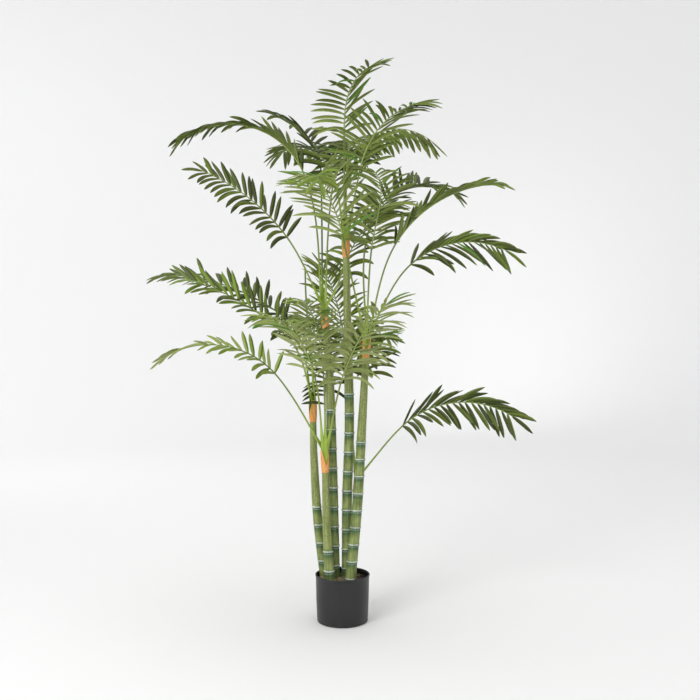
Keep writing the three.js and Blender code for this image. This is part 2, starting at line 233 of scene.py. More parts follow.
# Peat: near black and dull, with brown crumbs
peat_crumb_width = 3 * mm
peat, at = new_material("pressed_peat")
crumbs = add_node(peat, "TexNoise",
                  {"Vector": at, "Scale": 1 / peat_crumb_width, "Detail": 6, "Roughness": 0.7})
tone = add_node(peat, "ValToRGB", {"Fac": crumbs.outputs[0]},
                [(0.35, "#0f0c0a"), (0.62, "#2b211a"), (0.8, "#4a3b2c")])
bump = add_node(peat, "Bump", {"Height": crumbs.outputs[0], "Strength": 0.8, "Distance": 1.2 * mm})
set_surface(peat, {"Base Color": tone.outputs[0], "Roughness": 0.95, "Normal": bump.outputs[0]})
filling.data.materials.append(peat)
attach(filling, "root")
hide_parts("pot_fill")

# Canes
# Six moulded plastic tubes, slipped over a steel core that is cast into the filling. The lower
# part has raised rings, brushed with pale and dark paint, as the leaf scars of the real palm have.
# Each one leans a little and starts from a flat cut.

cane_foot_radius = 17 * mm
slim_foot_radius = 15.5 * mm
cane_ring_radius = 15 * mm
shaft_top_radius = 10.4 * mm
collar_height = 70 * mm
cane_sides = 48
span_steps = 60
skin_width = 9 * mm
skin_length = 30 * mm
skin_relief = 0.5 * mm
least_reach = 0.001 * mm
steps_between_rings = 5
ring_rise = 1.9 * mm
ring_half_height = 4.5 * mm

# A ring's section from the groove under it to its upper edge: the height in mm from the middle of
# the ring, and how far it stands out there, as a share of "ring_rise"
ring_section = [
    (-9, 0), (-6, -0.25), (-4.5, 0.1), (-2.5, 0.55), (-1.2, 1), (0, 1), (1.2, 0.85), (2.5, 0.3), (4.5, 0),
]

# Each cane: the places that its middle line passes, its radius at the foot, the height of its top
# ring with the rings' pitch and number, the way that its collar opens, and its fronds. A frond leaves
# the collar towards "way" (0 is right, 90 is back, 180 is left, 270 is front), climbs at "rise"
# degrees, has come over to "arch" degrees where its leaflets start and to "tip" degrees at its end,
# and swings sideways by "turn". "roll" tips its blade about the rib, by "twist" more at its end.
# "spread" is the angle of its first leaflets to the rib, wider by "skew" on one side than on the
# other; "lift" is how far they stand up from the blade, and "sag" how far they hang. "stalk" is the
# bare stretch, "blade" the feathered one, and "leaf" the longest leaflet. "cut" is the leaflets'
# shape, and "tone" their place among the leaf tones, from dark to light. What a frond leaves out is
# as in "usual_frond".
canes = {
    "a": dict(
        line=[(-0.058, 0.028, 0.132), (-0.079, 0.030, 0.305), (-0.092, 0.035, 0.500),
              (-0.097, 0.040, 0.702)],
        foot=slim_foot_radius, top_ring=0.360, pitch=0.058, rings=4, opens=210,
        fronds=[
            dict(way=188, rise=77, arch=44, tip=16, roll=-30, spread=64, lift=22, sag=0.6, stalk=0.220,
                 blade=0.377, leaf=0.115, tone=2),
            dict(way=168, rise=84, arch=38, tip=1, roll=-20, spread=66, lift=22, sag=0.6, stalk=0.285,
                 blade=0.455, leaf=0.110, tone=1),
            dict(way=100, rise=80, arch=50, tip=-20, stalk=0.180, blade=0.370, leaf=0.120, tone=2),
            dict(way=20, rise=96, arch=90, tip=90, stalk=0.425, blade=0, leaf=0, tone=2),
        ],
    ),
    "b": dict(
        line=[(-0.040, -0.027, 0.132), (-0.050, -0.029, 0.320), (-0.056, -0.030, 0.548)],
        foot=cane_foot_radius, top_ring=0.228, pitch=0.062, rings=2, opens=290,
        fronds=[
            dict(way=188, rise=61, arch=49, tip=-31, roll=-45, twist=60, spread=62, lift=20, sag=0.6,
                 stalk=0.282, blade=0.376, leaf=0.085, tone=4),
            dict(way=245, rise=82, arch=60, tip=0, sag=0.6, stalk=0.250, blade=0.350, leaf=0.115,
                 cut="fine", tone=4),
            dict(way=256, rise=87, arch=74, tip=10, sag=0.6, stalk=0.270, blade=0.300, leaf=0.100,
                 cut="fine", tone=4),
            dict(way=308, rise=74, arch=65, tip=30, spread=70, lift=8, sag=0.9, stalk=0.220, blade=0.330,
                 leaf=0.145, cut="fine", tone=4),
            dict(way=94, rise=72, arch=76, tip=35, turn=-40, spread=78, lift=0, stalk=0.145, blade=0.290,
                 leaf=0.088, cut="fine", tone=0),
        ],
    ),
    "c": dict(
        line=[(-0.025, 0.008, 0.132), (-0.033, 0.012, 0.500), (-0.046, 0.018, 0.860),
              (-0.062, 0.025, 1.000)],
        foot=cane_foot_radius, top_ring=0.672, pitch=0.062, rings=9, opens=260,
        fronds=[
            dict(way=178, rise=88, arch=66, tip=-35, roll=-10, spread=30, lift=34, sag=1.1, stalk=0.446,
                 blade=0.465, leaf=0.105, tone=1),
            dict(way=185, rise=66, arch=54, tip=22, roll=-50, stalk=0.250, blade=0.345, leaf=0.100, tone=1),
            dict(way=95, rise=84, arch=57, tip=30, turn=95, lift=28, sag=0.9, stalk=0.500, blade=0.290,
                 leaf=0.110, tone=0),
            dict(way=65, rise=86, arch=74, tip=5, turn=60, stalk=0.380, blade=0.355, leaf=0.115, tone=2),
            dict(way=50, rise=50, arch=66, tip=25, stalk=0.120, blade=0.390, leaf=0.140, tone=2),
        ],
    ),
    "d": dict(
        line=[(0.014, 0.015, 0.132), (0.015, 0.014, 0.400), (0.022, 0.014, 0.620), (0.017, 0.014, 0.900),
              (0.010, 0.014, 1.232)],
        foot=cane_foot_radius, top_ring=0.723, pitch=0.062, rings=10, opens=240,
        fronds=[
            dict(way=270, rise=90, arch=83, tip=8, turn=50, roll=10, spread=66, skew=16, lift=12, sag=0.45,
                 stalk=0.325, blade=0.255, leaf=0.115, cut="fine", tone=2),
            dict(way=318, rise=75, arch=74, tip=-4, roll=-35, twist=60, spread=60, skew=15, lift=12,
                 sag=0.5, stalk=0.213, blade=0.300, leaf=0.130, cut="fine", tone=2),
            dict(way=15, rise=94, arch=57, tip=-38, turn=-10, spread=75, lift=-36, sag=0.6, stalk=0.280,
                 blade=0.290, leaf=0.105, tone=3),
            dict(way=85, rise=84, arch=60, tip=-20, stalk=0.240, blade=0.380, leaf=0.130, tone=1),
            dict(way=128, rise=80, arch=55, tip=-10, stalk=0.220, blade=0.340, leaf=0.130, tone=1),
        ],
    ),
    "e": dict(
        line=[(0.025, -0.023, 0.132), (0.048, -0.018, 0.380), (0.063, -0.014, 0.640),
              (0.078, -0.010, 0.907)],
        foot=cane_foot_radius, top_ring=0.573, pitch=0.054, rings=8, opens=270,
        fronds=[
            dict(way=225, rise=72, arch=74, tip=-33, turn=58, roll=15, spread=60, lift=18, sag=0.4,
                 stalk=0.325, blade=0.380, leaf=0.150, cut="fine", tone=3),
            dict(way=310, rise=87, arch=80, tip=10, turn=-64, lift=10, sag=0.6, stalk=0.274, blade=0.310,
                 leaf=0.135, cut="fine", tone=2),
            dict(way=355, rise=79, arch=60, tip=2, roll=10, spread=36, lift=38, sag=0.9, stalk=0.299,
                 blade=0.388, leaf=0.095, tone=2),
            dict(way=15, rise=65, arch=42, tip=-22, roll=18, twist=50, spread=52, skew=20, lift=10, sag=0.6,
                 stalk=0.270, blade=0.360, leaf=0.140, tone=2),
            dict(way=40, rise=96, arch=54, tip=-19, roll=20, spread=60, lift=30, sag=0.8, stalk=0.390,
                 blade=0.430, leaf=0.095, tone=1),
            dict(way=88, rise=50, arch=0, tip=-70, stalk=0.080, blade=0.280, leaf=0.088, tone=1),
        ],
    ),
    "f": dict(
        line=[(0.028, 0.051, 0.132), (0.037, 0.055, 0.300), (0.050, 0.060, 0.449)],
        foot=slim_foot_radius, top_ring=0.196, pitch=0.050, rings=2, opens=330,
        fronds=[
            dict(way=355, rise=52, arch=44, tip=-32, roll=25, twist=35, spread=54, skew=18, lift=8, sag=0.5,
                 stalk=0.215, blade=0.383, leaf=0.130, tone=1),
            dict(way=122, rise=82, arch=79, tip=45, sag=0.6, stalk=0.430, blade=0.320, leaf=0.140,
                 cut="fine", tone=3),
            dict(way=72, rise=87, arch=66, tip=-15, stalk=0.330, blade=0.350, leaf=0.120, tone=2),
        ],
    ),
}


class CaneLine:
    """The middle line of a cane, a centripetal curve through its places, read by the length along it."""

    def __init__(self, places):
        places = [np.array(place) for place in places]
        before = 2 * places[0] - places[1]
        after = 2 * places[-1] - places[-2]
        chain = [before, *places, after]
        spans = [self.span(*chain[at : at + 4]) for at in range(len(places) - 1)]
        self.points = np.vstack([*spans, places[-1:]])
        steps = np.linalg.norm(np.diff(self.points, axis=0), axis=1)
        self.lengths = np.concatenate([[0], np.cumsum(steps)])
        self.length = self.lengths[-1]

    def span(self, p0, p1, p2, p3):
        """Points of the curve from p1 up to p2."""
        d0, d1, d2 = (sqrt(np.linalg.norm(b - a)) for a, b in ((p0, p1), (p1, p2), (p2, p3)))
        leave = d1 * ((p1 - p0) / d0 - (p2 - p0) / (d0 + d1) + (p2 - p1) / d1)
        arrive = d1 * ((p2 - p1) / d1 - (p3 - p1) / (d1 + d2) + (p3 - p2) / d2)
        t = np.linspace(0, 1, span_steps, endpoint=False)[:, None]
        bend = 3 * (p2 - p1) - 2 * leave - arrive
        return p1 + leave * t + bend * t**2 + (2 * (p1 - p2) + leave + arrive) * t**3

    def at(self, length):
        """The places at lengths along the line."""
        return np.stack([np.interp(length, self.lengths, self.points[:, axis]) for axis in range(3)], -1)


def cane_radius(cane, height):
    """A cane's radius at a height above the filling: a slow taper over the rings, then a quicker one."""
    top_ring = cane["top_ring"] - fill_top
    ring_radius = min(cane_ring_radius, cane["foot"])
    shaft_top = lines[cane["letter"]].length - collar_height
    return np.interp(height, [0, top_ring, shaft_top], [cane["foot"], ring_radius, shaft_top_radius])


def place_on_line(piece, line, start, relief=0):
    """Gives a spun piece its uneven skin, and moves each level section onto the cane's line."""
    co = np.array([vertex.co for vertex in piece.data.vertices])
    if relief:
        scale = Vector((1 / skin_width, 1 / skin_width, 1 / skin_length))
        uneven = np.array([noise.noise(Vector(place) * scale) for place in co])
        reach = np.maximum(np.hypot(co[:, 0], co[:, 1]), least_reach)
        co[:, :2] *= (1 + relief * uneven / reach)[:, None]
    middle = line.at(start + co[:, 2])
    co[:, :2] += middle[:, :2]
    co[:, 2] = middle[:, 2]
    piece.data.vertices.foreach_set("co", co.ravel())
    piece.data.update()


def keep_values(piece, name, values):
    """Keeps a number for each vertex, which a material reads."""
    piece.data.attributes.new(name, "FLOAT", "POINT").data.foreach_set("value", values)


def ring_outline(cane):
    """Half the section of the ringed part: each ring stands out as a lip with a groove under it."""
    top_ring = cane["top_ring"] - fill_top
    top = top_ring + 2 * ring_half_height
    outline = [(0, 0), (cane_radius(cane, 0), 0)]
    for number in reversed(range(cane["rings"])):
        ring = top_ring - number * cane["pitch"]
        groove_foot = ring + ring_section[0][0] * mm
        plain = np.linspace(outline[-1][1], groove_foot, steps_between_rings + 1)[1:-1]
        outline += [(cane_radius(cane, height), height) for height in plain]
        for offset, rise in ring_section:
            height = ring + offset * mm
            outline.append((cane_radius(cane, height) + rise * ring_rise, height))
    outline += [(cane_radius(cane, top), top), (0, top)]
    return outline


lines = {}
for letter, cane in canes.items():
    cane["letter"] = letter
    lines[letter] = CaneLine(cane["line"])

# Moulded cane plastic: olive with upright fibres, half gloss. Each ring has a pale brushed line, a
# dull grey band, a second broken line, and dark green paint that fades downwards. The brush starts
# a little over the ring's middle and wobbles by a share of the pitch.
paint_over_ring = 1.5 * mm
wobble_width = 16 * mm
wobble_share = 0.045
cane_fibre_width = 3 * mm
cane_fibre_stretch = (1, 1, 0.045)
patch_width = 22 * mm
# A Mix node takes its factor at input 0 and its colours at 6 and 7, and gives the mix at output 2
factor = 0
under_colour = 6
over_colour = 7
mixed = 2
multiply = dict(data_type="RGBA", blend_type="MULTIPLY")
ringed_plastic, at = new_material("ringed_cane_plastic")
phase = add_node(ringed_plastic, "Attribute", attribute_name="ring_phase").outputs["Fac"]
wobble = add_node(ringed_plastic, "TexNoise", {"Vector": at, "Scale": 1 / wobble_width, "Detail": 3})
shift = add_node(ringed_plastic, "Math", {0: wobble.outputs[0], 1: wobble_share, 2: phase},
                 operation="MULTIPLY_ADD")
part = add_node(ringed_plastic, "Math", {0: shift.outputs[0]}, operation="FRACT")
paint = add_node(ringed_plastic, "ValToRGB", {"Fac": part.outputs[0]}, [
    (0.0, "#a9b89a"),
    (0.02, "#e0e6da"),
    (0.06, "#d6decf"),
    (0.075, "#5f7a68"),
    (0.14, "#6f8a72"),
    (0.165, "#a9b99d"),
    (0.19, "#587650"),
    (0.25, "#547446"),
    (0.46, "#8a9955"),
    (0.9, "#9da865"),
    (1.0, "#88975b"),
])
upright = add_node(ringed_plastic, "Mapping", {"Vector": at, "Scale": cane_fibre_stretch})
fibres = add_node(ringed_plastic, "TexNoise",
                  {"Vector": upright.outputs[0], "Scale": 1 / cane_fibre_width, "Detail": 5})
patches = add_node(ringed_plastic, "TexNoise", {"Vector": at, "Scale": 1 / patch_width, "Detail": 3})
fibre_tone = add_node(ringed_plastic, "ValToRGB", {"Fac": fibres.outputs[0]},
                      [(0.32, "#a0a8a0"), (0.62, "#ffffff")])
patch_tone = add_node(ringed_plastic, "ValToRGB", {"Fac": patches.outputs[0]},
                      [(0.35, "#c9d2c2"), (0.6, "#ffffff")])
streaked = add_node(ringed_plastic, "Mix", {
    factor: 0.75,
    under_colour: paint.outputs[0],
    over_colour: fibre_tone.outputs[0],
}, **multiply)
mottled = add_node(ringed_plastic, "Mix", {
    factor: 0.8,
    under_colour: streaked.outputs[mixed],
    over_colour: patch_tone.outputs[0],
}, **multiply)
bump = add_node(ringed_plastic, "Bump",
                {"Height": fibres.outputs[0], "Strength": 0.35, "Distance": 0.4 * mm})
gloss = add_node(ringed_plastic, "MapRange", {"Value": patches.outputs[0], "To Min": 0.36, "To Max": 0.6})
set_surface(ringed_plastic, {
    "Base Color": mottled.outputs[mixed],
    "Roughness": gloss.outputs[0],
    "Normal": bump.outputs[0],
    "IOR": 1.46,
})

for letter, cane in canes.items():
    ringed = spun(f"ringed_cane_{letter}", ring_outline(cane), cane_sides)
    heights = np.array([vertex.co.z for vertex in ringed.data.vertices])
    paint_top = cane["top_ring"] - fill_top + paint_over_ring
    keep_values(ringed, "ring_phase", (paint_top - heights) / cane["pitch"])
    place_on_line(ringed, lines[letter], 0, skin_relief)
    shade(ringed, 50)
    ringed.data.materials.append(ringed_plastic)
    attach(ringed, "root")
    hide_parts(f"cane_{letter}")

# Smooth shafts
# Above the top ring each cane carries on as a smooth tube of the same plastic, which narrows to
# the collar. It is slipped over the same core and butts on the ringed part.

shaft_step = 14 * mm
shaft_relief = 0.35 * mm

# The cane plastic without paint: fine upright fibres and dark specks on olive, half gloss
shaft_fibre_width = 3.5 * mm
shaft_fibre_stretch = (1, 1, 0.03)
speck_width = 4 * mm
shaft_plastic, at = new_material("smooth_shaft_plastic")
upright = add_node(shaft_plastic, "Mapping", {"Vector": at, "Scale": shaft_fibre_stretch})
fibres = add_node(shaft_plastic, "TexNoise",
                  {"Vector": upright.outputs[0], "Scale": 1 / shaft_fibre_width, "Detail": 5})
specks = add_node(shaft_plastic, "TexNoise",
                  {"Vector": at, "Scale": 1 / speck_width, "Detail": 5, "Roughness": 0.7})
olive = add_node(shaft_plastic, "ValToRGB", {"Fac": fibres.outputs[0]},
                 [(0.3, "#707d42"), (0.5, "#8b9655"), (0.7, "#a3ac6c")])
speck_tone = add_node(shaft_plastic, "ValToRGB", {"Fac": specks.outputs[0]},
                      [(0.36, "#8f968c"), (0.52, "#ffffff")])
speckled = add_node(shaft_plastic, "Mix", {
    factor: 0.7,
    under_colour: olive.outputs[0],
    over_colour: speck_tone.outputs[0],
}, **multiply)
bump = add_node(shaft_plastic, "Bump", {"Height": fibres.outputs[0], "Strength": 0.3, "Distance": 0.4 * mm})
set_surface(shaft_plastic, {
    "Base Color": speckled.outputs[mixed],
    "Roughness": 0.48,
    "Normal": bump.outputs[0],
    "IOR": 1.46,
})

for letter, cane in canes.items():
    bottom = cane["top_ring"] - fill_top + 2 * ring_half_height + seat_gap
    top = lines[letter].length - collar_height
    levels = np.linspace(bottom, top, ceil((top - bottom) / shaft_step) + 1)
    outline = [(cane_radius(cane, level), level - bottom) for level in levels]
    shaft = spun(f"smooth_shaft_{letter}", [(0, 0), *outline, (0, top - bottom)], cane_sides)
    place_on_line(shaft, lines[letter], bottom, shaft_relief)
    shade(shaft, 50)
    shaft.data.materials.append(shaft_plastic)
    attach(shaft, "root")
    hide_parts(f"shaft_{letter}")

# Collars
# A sheath of tan woven cloth stiffened with resin, wrapped round the head of each cane. It is open
# in a V on one side, where the stalks stand out, with a pointed flap on each side of the V.

cloth_thickness = 0.9 * mm
collar_top_radius = 13.6 * mm
collar_radii = [11.7 * mm, 11.2 * mm, 13.2 * mm, collar_top_radius]
collar_radius_shares = [0, 0.04, 0.4, 1]
collar_levels = 14
collar_sides = 72
back_share = 0.94
v_half_angle = 62
v_depth = 0.62
v_sharpness = 1.15
flap_rise = 0.12
flap_off = 12
flap_half_angle = 22
ripples = 7
ripple_rise = 0.012


def collar_top(angle):
    """How high the collar stands, as a share of its height, at an angle from the middle of its V."""
    off = np.abs((angle + 180) % 360 - 180)
    dip = v_depth * np.clip(1 - off / v_half_angle, 0, 1) ** v_sharpness
    flap = flap_rise * np.exp(-(((off - v_half_angle - flap_off) / flap_half_angle) ** 2))
    return back_share - dip + flap + ripple_rise * np.sin(np.radians(angle) * ripples)


# Coarse cloth soaked in resin: upright tan threads, nearly matt, with a little fuzz at the edges
thread_width = 1.6 * mm
thread_stretch = (1, 1, 0.06)
tan_cloth, at = new_material("tan_sheath_cloth")
upright = add_node(tan_cloth, "Mapping", {"Vector": at, "Scale": thread_stretch})
threads = add_node(tan_cloth, "TexNoise",
                   {"Vector": upright.outputs[0], "Scale": 1 / thread_width, "Detail": 4})
tone = add_node(tan_cloth, "ValToRGB", {"Fac": threads.outputs[0]},
                [(0.3, "#c27a35"), (0.5, "#df9a50"), (0.7, "#efb574")])
bump = add_node(tan_cloth, "Bump", {"Height": threads.outputs[0], "Strength": 0.5, "Distance": 0.5 * mm})
set_surface(tan_cloth, {
    "Base Color": tone.outputs[0],
    "Roughness": 0.68,
    "Normal": bump.outputs[0],
    "Sheen Weight": 0.15,
})

for letter, cane in canes.items():
    levels = np.linspace(0, 1, collar_levels)
    radii = np.interp(levels, collar_radius_shares, collar_radii)
    collar = spun(f"collar_sheath_{letter}", list(zip(radii, levels * collar_height)), collar_sides)
    co = np.array([vertex.co for vertex in collar.data.vertices])
    angles = np.degrees(np.arctan2(co[:, 1], co[:, 0])) - cane["opens"]
    co[:, 2] *= collar_top(angles)
    collar.data.vertices.foreach_set("co", co.ravel())
    apply_modifier(collar, "SOLIDIFY", thickness=cloth_thickness, offset=-1)
    place_on_line(collar, lines[letter], lines[letter].length - collar_height)
    shade(collar, 50)
    collar.data.materials.append(tan_cloth)
    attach(collar, "root")
    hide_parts(f"collar_{letter}")

# Dry moss
# Loose strands of dried moss hide the filling round the feet of the canes. They are pressed onto
# it, curl over it, and stand up here and there.

moss_strands = 620
moss_points = 6
moss_seat = 0.4 * mm
moss_rise = 8 * mm
moss_bow_power = 0.8
moss_rim_gap = 2 * mm
# The least and most of a strand: its start from a cane's middle, its length and its half width in
# mm, its turn from the way to that start, its curl, and the share of its rise
start_range = (15, 34)
length_range = (12, 34)
half_width_range = (0.3, 0.6)
turn_range = (0.9, 2.2)
curl_range = (-1.2, 1.2)
rise_range = (0.1, 1)
strand_widths = [0.6, 1, 1, 0.9, 0.7, 0.3]
strand_flatness = 0.7
straw_tones = ["#b5a27c", "#8b7c5c", "#cfc4a2", "#6f6a55"]


def skinned(name, bodies):
    """Joins closed bodies, each a stack of rings of points, into one mesh with outward faces."""
    points, faces, first = [], [], 0
    for rings in bodies:
        count, around, _ = rings.shape
        grid = first + np.arange(count * around).reshape(count, around)
        low, high = grid[:-1], grid[1:]
        sides = np.stack([low, np.roll(low, -1, 1), np.roll(high, -1, 1), high], -1)
        faces += sides.reshape(-1, 4).tolist()
        faces += [grid[0, ::-1].tolist(), grid[-1].tolist()]
        points.append(rings.reshape(-1, 3))
        first += count * around
    mesh = bpy.data.meshes.new(name)
    mesh.from_pydata(np.vstack(points), [], faces)
    piece = bpy.data.objects.new(name, mesh)
    bpy.context.collection.objects.link(piece)
    return piece


def unit(vectors):
    """Vectors at length 1."""
    return vectors / np.linalg.norm(vectors, axis=-1, keepdims=True)


# The one seeded source of chance, for the strands here and the leaflets after them
dice = np.random.default_rng(11)
strands = []
feet = [np.array(cane["line"][0][:2]) for cane in canes.values()]
while len(strands) < moss_strands:
    turn = dice.uniform(0, 2 * pi)
    off = dice.uniform(*start_range) * mm
    start = feet[dice.integers(len(feet))] + off * np.array([cos(turn), sin(turn)])
    heading = turn + dice.uniform(*turn_range) * dice.choice([-1, 1])
    length = dice.uniform(*length_range) * mm
    rise = dice.uniform(*rise_range) ** 2 * moss_rise
    share = np.linspace(0, 1, moss_points)
    curl = heading + dice.uniform(*curl_range) * share
    flat = start + np.cumsum(np.stack([np.cos(curl), np.sin(curl)], 1), 0) * length / moss_points
    if np.hypot(*flat.T).max() > fill_radius - moss_rim_gap:
        continue
    ground = np.array([fill_height(*place) for place in flat])
    bow = rise * np.sin(pi * share**moss_bow_power)
    middle = np.column_stack([flat, ground + moss_seat + bow])
    along = unit(np.gradient(middle, axis=0))
    side = unit(np.cross(along, (0, 0, 1)))
    up = np.cross(side, along)
    half = dice.uniform(*half_width_range) * mm * np.array(strand_widths)[:, None]
    beneath = middle - half * (side + up) * strand_flatness
    strands.append(np.stack([middle + half * up, middle + half * side, beneath], 1))
moss = skinned("dry_moss", strands)

# Dried moss: matt straw colours, each strand in one of them, with a frayed surface
fray_width = 1.2 * mm
for number, colour in enumerate(straw_tones, 1):
    straw, at = new_material(f"dry_moss_{number}")
    frayed = add_node(straw, "TexNoise", {"Vector": at, "Scale": 1 / fray_width, "Detail": 3})
    bump = add_node(straw, "Bump", {"Height": frayed.outputs[0], "Strength": 0.5, "Distance": 0.2 * mm})
    set_surface(straw, {"Base Color": linear(colour), "Roughness": 0.9, "Normal": bump.outputs[0]})
    moss.data.materials.append(straw)
faces_each = len(moss.data.polygons) // len(strands)
strand_tones = dice.integers(0, len(straw_tones), len(strands))
moss.data.polygons.foreach_set("material_index", np.repeat(strand_tones, faces_each))
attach(moss, "root")

# Stalks and ribs
# Each frond has one wired plastic rib. Its foot is a broad yellow-green sheath that stands in the
# collar, then it is a bare stalk, and along the feathered part it is flatter and paler beneath.

stalk_seat_radius = 7.9 * mm
stalk_base_half = 3 * mm
stalk_half = 2.6 * mm
rib_tip_half = 1.1 * mm
rib_flattening = 0.15
stalk_bend_power = 3
sheath_depth = 46 * mm
sheath_length = 105 * mm
sheath_half = 8.6 * mm
sheath_thickness = 2.1 * mm
sheath_taper_power = 1.4
sheath_curl = 0.35
sheath_lean = 0.12
sunk_rings = 5
sheath_rings = 11
rib_ring_pitch = 14 * mm
rib_end = 2 * mm
rib_end_share = 0.5
rib_sides = 10
rib_step = 2.5 * mm
usual_frond = dict(turn=0, roll=0, twist=0, spread=62, skew=0, sag=0.9, lift=14, cut="broad")
# A stalk is seated by the lowest corner of a three-sided foot. One corner is up, and the other two
# are on the sides, down by this share of the foot's half width.
section_drop = 0.6


class Rib:
    """A frond's rib: its heading, its axes and its place at distances from its foot."""

    def __init__(self, frond, foot):
        self.frond = frond
        self.length = frond["stalk"] + frond["blade"]
        count = ceil(self.length / rib_step)
        step = self.length / count
        moves = self.along((np.arange(count) + 0.5) * step) * step
        self.distances = np.linspace(0, self.length, count + 1)
        self.places = np.vstack([foot, foot + np.cumsum(moves, 0)])

    def on_stalk(self, distance):
        """How far up the stalk a distance is, from 0 to 1."""
        return np.clip(distance / self.frond["stalk"], 0, 1)

    def on_blade(self, distance):
        """How far along the blade a distance is, from 0 to 1."""
        return np.maximum(distance - self.frond["stalk"], 0) / max(self.frond["blade"], mm)

    def azimuth(self, distance):
        """The way that the rib goes, seen from above."""
        return np.radians(self.frond["way"] + self.frond["turn"] * self.on_blade(distance))

    def along(self, distance):
        """The direction of the rib, whose stalk bends most near its upper end."""
        frond = self.frond
        bent = (frond["arch"] - frond["rise"]) * self.on_stalk(distance) ** stalk_bend_power
        over = (frond["tip"] - frond["arch"]) * self.on_blade(distance)
        elevation = np.radians(frond["rise"] + bent + over)
        azimuth, flat = self.azimuth(distance), np.cos(elevation)
        return np.stack([flat * np.cos(azimuth), flat * np.sin(azimuth), np.sin(elevation)], -1)

    def axes(self, distance):
        """Along the rib, across its blade to the right, and out of the blade's upper face."""
        azimuth, along = self.azimuth(distance), self.along(distance)
        side = np.stack([np.sin(azimuth), -np.cos(azimuth), 0 * azimuth], -1)
        up = np.cross(side, along)
        tilt = np.radians(self.frond["roll"] + self.frond["twist"] * self.on_blade(distance))
        cosine, sine = np.cos(tilt)[..., None], np.sin(tilt)[..., None]
        return along, side * cosine - up * sine, up * cosine + side * sine

    def at(self, distance):
        """The places at distances along the rib."""
        return np.stack([np.interp(distance, self.distances, self.places[:, i]) for i in range(3)], -1)


def crown_ribs(cane):
    """The ribs of a crown. They stand in a circle on the collar, evenly spaced, in the order of
    the ways that they go and as near to those ways as that spacing lets them be."""
    crown = lines[cane["letter"]].points[-1]
    order = sorted(frond["way"] for frond in cane["fronds"])
    spacing = 360 / len(order)
    start = sum(way - place * spacing for place, way in enumerate(order)) / len(order)
    ribs = []
    for own in cane["fronds"]:
        frond = {**usual_frond, **own}
        seat = radians(start + order.index(frond["way"]) * spacing)
        foot = crown + stalk_seat_radius * np.array([cos(seat), sin(seat), 0])
        _, side, up = Rib(frond, foot).axes(np.array(0.0))
        lowest = min(up[2], -section_drop * up[2] - abs(side[2])) * stalk_base_half
        foot[2] += seat_gap - lowest
        ribs.append((Rib(frond, foot), crown - foot))
    return ribs


def rib_body(rib, inward):
    """The rib's rings: a broad sheath curled round the crown's middle, then a rounded bar."""
    distance = np.concatenate([
        np.linspace(-sheath_depth, 0, sunk_rings + 1)[:-1],
        np.linspace(0, sheath_length, sheath_rings + 1)[:-1],
        np.linspace(sheath_length, rib.length - rib_end, ceil(rib.length / rib_ring_pitch)),
        [rib.length],
    ])
    on_rib = np.maximum(distance, 0)
    _, side, up = rib.axes(on_rib)
    sunk = np.minimum(distance, 0)[:, None]
    middle = rib.at(on_rib) + sunk * (0, 0, 1) - sunk / sheath_depth * sheath_lean * inward * (1, 1, 0)
    bar = np.interp(on_rib, [0, rib.frond["stalk"], rib.length], [stalk_base_half, stalk_half, rib_tip_half])
    flare = np.clip(1 - on_rib / sheath_length, 0, 1) ** sheath_taper_power
    wide = bar + (sheath_half - bar) * flare
    thick = bar * (1 - rib_flattening * rib.on_blade(on_rib)) + (sheath_thickness - bar) * flare
    wide[-1] *= rib_end_share
    thick[-1] *= rib_end_share
    around = np.arange(rib_sides) * 2 * pi / rib_sides
    across = wide[:, None] * np.cos(around)
    out = -thick[:, None] * np.sin(around) + sheath_curl * flare[:, None] * across**2 / wide[:, None]
    rings = middle[:, None] + across[..., None] * side[:, None] + out[..., None] * up[:, None]
    return rings, on_rib


groove_width = 2.5 * mm
stalk_fade_length = 0.45


def stalk_material(name, stops):
    """Wired plastic stalk: half gloss, with fine grooves, in colours that fade from sheath to blade."""
    plastic, at = new_material(name)
    reach = add_node(plastic, "Attribute", attribute_name="from_collar").outputs["Fac"]
    share = add_node(plastic, "MapRange", {"Value": reach, "From Max": stalk_fade_length})
    colour = add_node(plastic, "ValToRGB", {"Fac": share.outputs[0]}, stops)
    grooves = add_node(plastic, "TexNoise", {"Vector": at, "Scale": 1 / groove_width, "Detail": 3})
    groove_tone = add_node(plastic, "ValToRGB", {"Fac": grooves.outputs[0]},
                           [(0.35, "#c4ccb8"), (0.6, "#ffffff")])
    grooved = add_node(plastic, "Mix", {
        factor: 0.6,
        under_colour: colour.outputs[0],
        over_colour: groove_tone.outputs[0],
    }, **multiply)
    bump = add_node(plastic, "Bump", {"Height": grooves.outputs[0], "Strength": 0.3, "Distance": 0.3 * mm})
    set_surface(plastic, {
        "Base Color": grooved.outputs[mixed],
        "Roughness": 0.42,
        "Normal": bump.outputs[0],
        "IOR": 1.46,
    })
    return plastic


green_stalk = stalk_material("green_stalk_plastic", [
    (0.0, "#97b03c"), (0.15, "#9fb84c"), (0.3, "#86993a"), (0.75, "#6a7d38"), (1.0, "#75883e")])
dark_stalk = stalk_material("dark_stalk_plastic", [
    (0.0, "#8fae3a"), (0.15, "#93b045"), (0.3, "#6c8636"), (0.6, "#4a5c2e"), (1.0, "#4f6632")])
pale_rib = stalk_material("pale_rib_plastic", [(0.0, "#9fae5c"), (1.0, "#a9b76c")])

